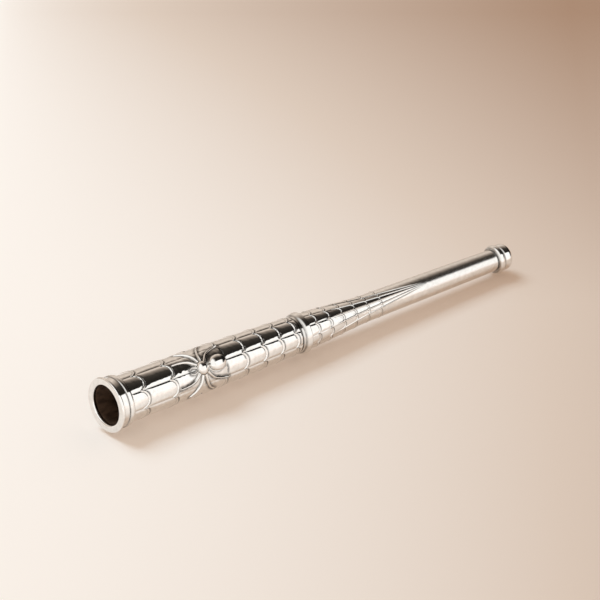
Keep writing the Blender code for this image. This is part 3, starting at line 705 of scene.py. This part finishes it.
# Shaft
# A tube of sheet silver drawn down over the core, worked into a second web at its flared end. The
# web's long lines start as grooves, rise into threads and close to a point on two sides. The rest is a
# plain rod with a satin polish.
SHAFT_BACK_R = 9.15 * MM
SHAFT_NECK_R = 6.75 * MM
SHAFT_FRONT_R = 5.7 * MM
FLARE_LENGTH = 46.0 * MM
ROD_SWELL = 1.6             # 1 is a straight cone, more keeps the rod full behind its tip
SHAFT_WALL = 0.8 * MM
FAN_ANGLE = radians(45)     # middle of the front fan, from the top towards the spider's side
FAN_HALF_SPREAD = radians(72)
FAN_CELLS = 4
FAN_LENGTH = 84.0 * MM
FAN_POINT_SHARE = 0.05      # what is left of the spread where the threads run out
FAN_NARROWING = 0.6         # how much thinner and lower the threads get along the fan
SHAFT_RELIEF = 0.4 * MM
SHAFT_PILLOW = 0.21 * MM
FULL_CELL = 5.3 * MM        # a cell as wide as this swells by all of it, a narrower one by less
GROOVED = (0.08, 0.28)      # shares of the fan between which its grooves turn into raised threads
RAISED_PILLOW = 0.5         # how much of the cells' swell is lost there
SHAFT_THREAD_WIDTH = 0.9 * MM
SHAFT_FIRST_RING = 5.7 * MM
SHAFT_RING_STEP = 8.6 * MM
SHAFT_RINGS = 6
SHAFT_BULGE = 2.2 * MM
HATCH_PITCH = 0.9 * MM      # fine slanting lines cut in the wide cells between the fans
HATCH_DEPTH = 0.05 * MM
HATCH_SLANT = 0.7           # how far a line moves along for each step round
HATCH_ROUND = 4             # more keeps the lines deep further out to the sides of a cell
HATCH_END, HATCH_FADE = 0.6, 0.3  # where the lines begin to fade and over what, as shares of the fan
FADE_LENGTH = 26.0 * MM     # over which the threads sink into the rod at the fan's point
POINT_STAIN = 0.2           # tarnish left beside the threads beyond the last cross thread
SATIN = 0.18                # how much rougher the rod is than the web
SATIN_FROM, SATIN_TO = 0.55, 0.95  # shares of the fan between which the satin sets in
WEB_LINES, ROD_LINES, SHAFT_SIDES = 400, 40, 360


def shaft_r(u):
    """Outer radius of the shaft, without its web: a flared neck, then a slim rod."""
    flare = SHAFT_BACK_R + (SHAFT_NECK_R - SHAFT_BACK_R) * eased((u - shaft_start) / FLARE_LENGTH)
    rod = np.clip((u - shaft_start - FLARE_LENGTH) / (shaft_end - shaft_start - FLARE_LENGTH), 0, 1)
    return flare + (SHAFT_FRONT_R - SHAFT_NECK_R) * rod ** ROD_SWELL


def shaft_web(u, angle):
    """Outer radius of the shaft, and the recess beside its threads."""
    base = shaft_r(u)
    run = np.clip((u - shaft_start) / FAN_LENGTH, 0, 1)
    spread = FAN_HALF_SPREAD * (1 + (FAN_POINT_SHARE - 1) * run)
    off = (angle - FAN_ANGLE + pi / 2) % pi - pi / 2
    place = np.clip((off + spread) / (2 * spread) * FAN_CELLS, 0, FAN_CELLS)
    thread = off - (np.round(place) / FAN_CELLS * 2 - 1) * spread
    fade = 1 - eased((u - shaft_start - FAN_LENGTH + FADE_LENGTH) / FADE_LENGTH)
    in_fan = np.abs(off) <= spread
    wide = pi - 2 * spread
    t = np.where(in_fan, place % 1, (np.abs(off) - spread) / wide)
    rings = [shaft_start + SHAFT_FIRST_RING + SHAFT_RING_STEP * i for i in range(SHAFT_RINGS)]
    cell_width = np.where(in_fan, 2 * spread / FAN_CELLS, wide) * base
    bulges = [SHAFT_BULGE] * SHAFT_RINGS
    to_ring, swell = cells(u, t, cell_width, shaft_start, shaft_start + FAN_LENGTH, rings, bulges)
    webbed = 1 - eased((u - rings[-1]) / SHAFT_RING_STEP)
    hatched = np.where(in_fan, 0, 1 - np.abs(2 * t - 1) ** HATCH_ROUND)
    hatched = hatched * (1 - eased((run - HATCH_END) / HATCH_FADE))
    hatch = HATCH_DEPTH * hatched * np.sin(2 * pi * (u + HATCH_SLANT * off * base) / HATCH_PITCH)
    narrowing = 1 - FAN_NARROWING * run
    raised = eased((run - GROOVED[0]) / (GROOVED[1] - GROOVED[0]))
    height, recess = ridge(thread * base, to_ring, SHAFT_THREAD_WIDTH * narrowing, raised)
    pillow = SHAFT_PILLOW * np.minimum(cell_width / FULL_CELL, 1) * swell * webbed
    pillow = pillow * (1 - RAISED_PILLOW * raised)
    radius = base + SHAFT_RELIEF * narrowing * height * fade + pillow + hatch
    return radius + ripple(u, angle), recess * fade * (POINT_STAIN + (1 - POINT_STAIN) * webbed)


web_lines = np.linspace(shaft_start, shaft_start + FAN_LENGTH, WEB_LINES)
rod_lines = np.linspace(shaft_start + FAN_LENGTH, shaft_end, ROD_LINES)[1:]
shaft = relief_tube("web_shaft", np.concatenate((web_lines, rod_lines)), SHAFT_SIDES, shaft_web,
                    lambda u: shaft_r(u) - SHAFT_WALL)
shaft_silver = silver_finish("shaft_silver", 1.0, 0.5, 0.12, 0.1 * MM)
tree = shaft_silver.node_tree
coords = node(tree, "TexCoord")
split = node(tree, "SeparateXYZ")
satin = node(tree, "MapRange", _1=shaft_start + SATIN_FROM * FAN_LENGTH,
             _2=shaft_start + SATIN_TO * FAN_LENGTH, _3=0.0, _4=SATIN)
rougher = node(tree, "Math", operation="ADD")
link(tree, coords.outputs["Object"], split.inputs[0], split.outputs["X"], satin.inputs[0],
     satin.outputs[0], rougher.inputs[0], tree.nodes["Group"].outputs["Roughness"], rougher.inputs[1],
     rougher.outputs[0], tree.nodes["Principled BSDF"].inputs["Roughness"])
piece("web_shaft", shaft, shaft_silver, "shaft_body", ["shaft"])

# Tip stud
# A brass pin let into the core, which bead and cap are soldered on.
finish_node("tip_stud", brass)

# Tip bead and cap
# Two turned silver pieces that close the shaft: a ring bead, which the wand rests on, and a domed cap.
TIP_GROOVE_R = 5.8 * MM
TIP_BEAD_R = 7.7 * MM
CAP_R = 6.9 * MM
CAP_BACK_LENGTH = 2.7 * MM
STUD_HOLE_R = 2.2 * MM
STUD_DEPTH = 4.3 * MM
TIP_STAIN = 0.4 * MM
bead_start, bead_end = span("tip_bead")
outline = [(bead_start, STUD_HOLE_R)]
outline += arc((bead_start + bead_end) / 2, TIP_GROOVE_R, (bead_end - bead_start) / 2,
               TIP_BEAD_R - TIP_GROOVE_R, 180, 0, 24)
outline += [(bead_end, STUD_HOLE_R)]
bead = turned("turned_tip_bead", outline)
tarnish_grooves(bead, (bead_start, bead_end), TIP_STAIN)
piece("turned_tip_bead", bead, turned_silver, "shaft_body", ["tip_bead"])

cap_start, cap_end = span("tip_cap")
cap_crest = cap_start + CAP_BACK_LENGTH
outline = [(cap_start + STUD_DEPTH, 0), (cap_start + STUD_DEPTH, STUD_HOLE_R), (cap_start, STUD_HOLE_R)]
outline += arc(cap_crest, TIP_GROOVE_R, CAP_BACK_LENGTH, CAP_R - TIP_GROOVE_R, 180, 90, 12)
outline += arc(cap_crest, 0, cap_end - cap_crest, CAP_R, 90, 0, 24)[1:-1] + [(cap_end, 0)]
cap = turned("turned_tip_cap", outline, solid=True)
tarnish_grooves(cap, (cap_start,), TIP_STAIN)
piece("turned_tip_cap", cap, turned_silver, "shaft_body", ["tip_cap"])

# Camera
# A long lens from the mouth's side, at the height that the photograph was taken from.
AIM = Vector((25.85, 41.7, 0)) * MM
CAMERA_AZIMUTH = radians(-39.9)
CAMERA_ELEVATION = radians(28.5)
CAMERA_DISTANCE = 2073.9 * MM
camera_data = bpy.data.cameras.new("camera")
camera_data.sensor_width = 36
camera_data.lens = 242
camera_data.clip_end = 50
camera = bpy.data.objects.new("camera", camera_data)
bpy.context.scene.collection.objects.link(camera)
level = cos(CAMERA_ELEVATION)
back = Vector((sin(CAMERA_AZIMUTH) * level, -cos(CAMERA_AZIMUTH) * level, sin(CAMERA_ELEVATION)))
camera.location = AIM + back * CAMERA_DISTANCE
camera.rotation_euler = (-back).to_track_quat("-Z", "Y").to_euler()
bpy.context.scene.camera = camera

# Floor
# A wide sheet of cream paper that the wand lies on. Painted shade darkens its colour to tan away from the
# light, and a faint painted glow adds a warm fill to it. In front of the wand a painted glow makes it
# brighter to reflections alone, as if a pale card lay there.
FLOOR_HALF = 4.0
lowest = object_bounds()[0].z
bm = bmesh.new()
bmesh.ops.create_grid(bm, x_segments=8, y_segments=8, size=FLOOR_HALF)
floor_mesh = bpy.data.meshes.new("floor")
bm.to_mesh(floor_mesh)
bm.free()
floor = bpy.data.objects.new("floor", floor_mesh)
bpy.context.scene.collection.objects.link(floor)
floor.location = (AIM.x, AIM.y, lowest)
floor.rotation_euler = (0, 0, CAMERA_AZIMUTH)
# The paper glows faintly in all rays, in its own colour warmed: a painted warm fill light with no lamp behind
# it.
paper, tree, shader = new_material("cream_paper_and_painted_light", Roughness=0.9, Specular_IOR_Level=0.1,
                                   Emission_Strength=0.27)
coords = node(tree, "TexCoord")
split = node(tree, "SeparateXYZ")
# Painted shade: the paper's colour darkens from cream to tan towards the far right, away from the lamp, like
# the edge of a pool of light.
to_right = node(tree, "MapRange", _1=-0.18, _2=0.16, _3=0.0, _4=1.0)
to_far = node(tree, "MapRange", _1=0.0, _2=0.36, _3=0.0, _4=1.0)
spread = node(tree, "Math", operation="MULTIPLY_ADD", _1=-1.0, _2=1.6)
depth = node(tree, "Math", operation="MULTIPLY_ADD", _1=0.42, _2=0.48)
eased_right = node(tree, "Math", operation="POWER")
shade = node(tree, "Math", operation="MULTIPLY")
paper_and_painted_shade = ramp(tree, 0.0, (0.855, 0.812, 0.785), 1.0, (0.302, 0.172, 0.105))
paper_and_painted_shade.color_ramp.elements.new(0.4).color = (0.634, 0.534, 0.467, 1)
painted_fill_glow = node(tree, "Mix", data_type="RGBA", blend_type="MULTIPLY", _0=1.0, _7=(1.0, 0.835, 0.687, 1))
place = node(tree, "NewGeometry")
where = node(tree, "SeparateXYZ")
# Painted reflection: in front of the wand the floor glows white to glossy rays only, standing in for a pale
# card that is not there.
in_front = node(tree, "MapRange", _1=-0.012, _2=-0.2, _3=0.0, _4=0.6)
reflected = node(tree, "LightPath")
glow = node(tree, "Math", operation="MULTIPLY")
painted_reflection_glow = node(tree, "Emission", Color=(0.94, 0.97, 1.0, 1))
both = node(tree, "AddShader")
link(tree, coords.outputs["Object"], split.inputs[0], split.outputs["X"], to_right.inputs[0],
     split.outputs["Y"], to_far.inputs[0], to_far.outputs[0], spread.inputs[0],
     to_far.outputs[0], depth.inputs[0], to_right.outputs[0], eased_right.inputs[0],
     spread.outputs[0], eased_right.inputs[1], eased_right.outputs[0], shade.inputs[0],
     depth.outputs[0], shade.inputs[1], shade.outputs[0], paper_and_painted_shade.inputs["Fac"],
     paper_and_painted_shade.outputs["Color"], shader.inputs["Base Color"], paper_and_painted_shade.outputs["Color"], painted_fill_glow.inputs[6],
     painted_fill_glow.outputs[2], shader.inputs["Emission Color"], place.outputs["Position"], where.inputs[0],
     where.outputs["Y"], in_front.inputs[0], in_front.outputs[0], glow.inputs[0],
     reflected.outputs["Is Glossy Ray"], glow.inputs[1], glow.outputs[0], painted_reflection_glow.inputs["Strength"],
     shader.outputs[0], both.inputs[0], painted_reflection_glow.outputs[0], both.inputs[1],
     both.outputs[0], tree.nodes["Material Output"].inputs["Surface"])
floor_mesh.materials.append(paper)

# Light
# A soft lamp to the left throws the shadow. Round the wand stand a long white screen on the camera's
# side, a dark ceiling and a tan backdrop, which the silver shows as bands along its length. A second
# screen stands beyond the mouth, and the dark goes on beyond the tip.
LAMP_DISTANCE = 5.0
LAMP_SIZE = 2.6
LAMP_POWER = 177
LAMP_AZIMUTH = radians(38)  # from the camera's left towards the far side
LAMP_ELEVATION = radians(55)
lamp_data = bpy.data.lights.new("key_lamp", "AREA")
lamp_data.size = LAMP_SIZE
lamp_data.energy = LAMP_POWER
lamp_data.color = (0.574, 0.768, 0.894)
lamp = bpy.data.objects.new("key_lamp", lamp_data)
bpy.context.scene.collection.objects.link(lamp)
left_round = CAMERA_AZIMUTH + pi - LAMP_AZIMUTH
lamp_level = cos(LAMP_ELEVATION)
lamp_way = Vector((cos(left_round) * lamp_level, sin(left_round) * lamp_level, sin(LAMP_ELEVATION)))
lamp.location = lamp_way * LAMP_DISTANCE
lamp.rotation_euler = lamp_way.to_track_quat("Z", "Y").to_euler()
lamp.visible_camera = False
lamp.visible_glossy = False

world = bpy.data.worlds.new("studio")
bpy.context.scene.world = world
world.use_nodes = True
tree = world.node_tree
tree.nodes.clear()
coords = node(tree, "TexCoord")
split = node(tree, "SeparateXYZ")
to_front = node(tree, "Math", operation="MULTIPLY", _1=-1.0)
round_wand = node(tree, "Math", operation="ARCTAN2")
share_round = node(tree, "MapRange", _1=-pi / 2, _2=pi / 2)
bands = tree.nodes.new("ShaderNodeValToRGB")
BAND_STOPS = (               # degrees from straight up, towards the camera's side, and the colour there
    (-90, (0.62, 0.535, 0.46)), (-52, (0.82, 0.71, 0.615)), (-24, (0.3, 0.247, 0.206)),
    (-4, (0.05, 0.043, 0.036)), (18, (0.024, 0.021, 0.018)), (36, (0.02, 0.018, 0.015)),
    (40, (1.27, 1.25, 1.22)), (90, (1.22, 1.19, 1.15)))
for number, (turn, colour) in enumerate(BAND_STOPS):
    stops = bands.color_ramp.elements
    stop = stops[number] if number < 2 else stops.new(1.0)
    stop.position = (turn + 90) / 180
    stop.color = (*colour, 1)
to_left = node(tree, "MapRange", _1=-0.05, _2=-0.35, _3=0.0, _4=1.0)
past_top = node(tree, "MapRange", _1=radians(-42), _2=radians(-20), _3=0.0, _4=1.0)
left_screen = node(tree, "Math", operation="MULTIPLY")
to_tip = node(tree, "MapRange", _1=0.72, _2=0.88, _3=0.0, _4=1.0)
with_left = node(tree, "Mix", data_type="RGBA", _7=(1.16, 1.14, 1.11, 1))
with_tip = node(tree, "Mix", data_type="RGBA", _7=(0.012, 0.011, 0.01, 1))
light_path = node(tree, "LightPath")
around = node(tree, "Background", Strength=1.0)
fill = node(tree, "Background", Color=(1.0, 0.835, 0.687, 1), Strength=0.55)
seen = node(tree, "Background", Color=(0.72, 0.6, 0.5, 1), Strength=1.0)
lit = node(tree, "MixShader")
chosen = node(tree, "MixShader")
out = node(tree, "OutputWorld")
link(tree, coords.outputs["Generated"], split.inputs[0], split.outputs["Y"], to_front.inputs[0],
     to_front.outputs[0], round_wand.inputs[0], split.outputs["Z"], round_wand.inputs[1],
     round_wand.outputs[0], share_round.inputs[0], share_round.outputs[0], bands.inputs["Fac"],
     split.outputs["X"], to_left.inputs[0], split.outputs["X"], to_tip.inputs[0],
     round_wand.outputs[0], past_top.inputs[0], to_left.outputs[0], left_screen.inputs[0],
     past_top.outputs[0], left_screen.inputs[1], bands.outputs["Color"], with_left.inputs[6],
     left_screen.outputs[0], with_left.inputs[0],
     with_left.outputs[2], with_tip.inputs[6], to_tip.outputs[0], with_tip.inputs[0],
     with_tip.outputs[2], around.inputs["Color"], light_path.outputs["Is Glossy Ray"], lit.inputs[0],
     fill.outputs[0], lit.inputs[1], around.outputs[0], lit.inputs[2],
     light_path.outputs["Is Camera Ray"], chosen.inputs[0], lit.outputs[0], chosen.inputs[1],
     seen.outputs[0], chosen.inputs[2], chosen.outputs[0], out.inputs["Surface"])

bpy.context.scene.view_settings.view_transform = "Standard"
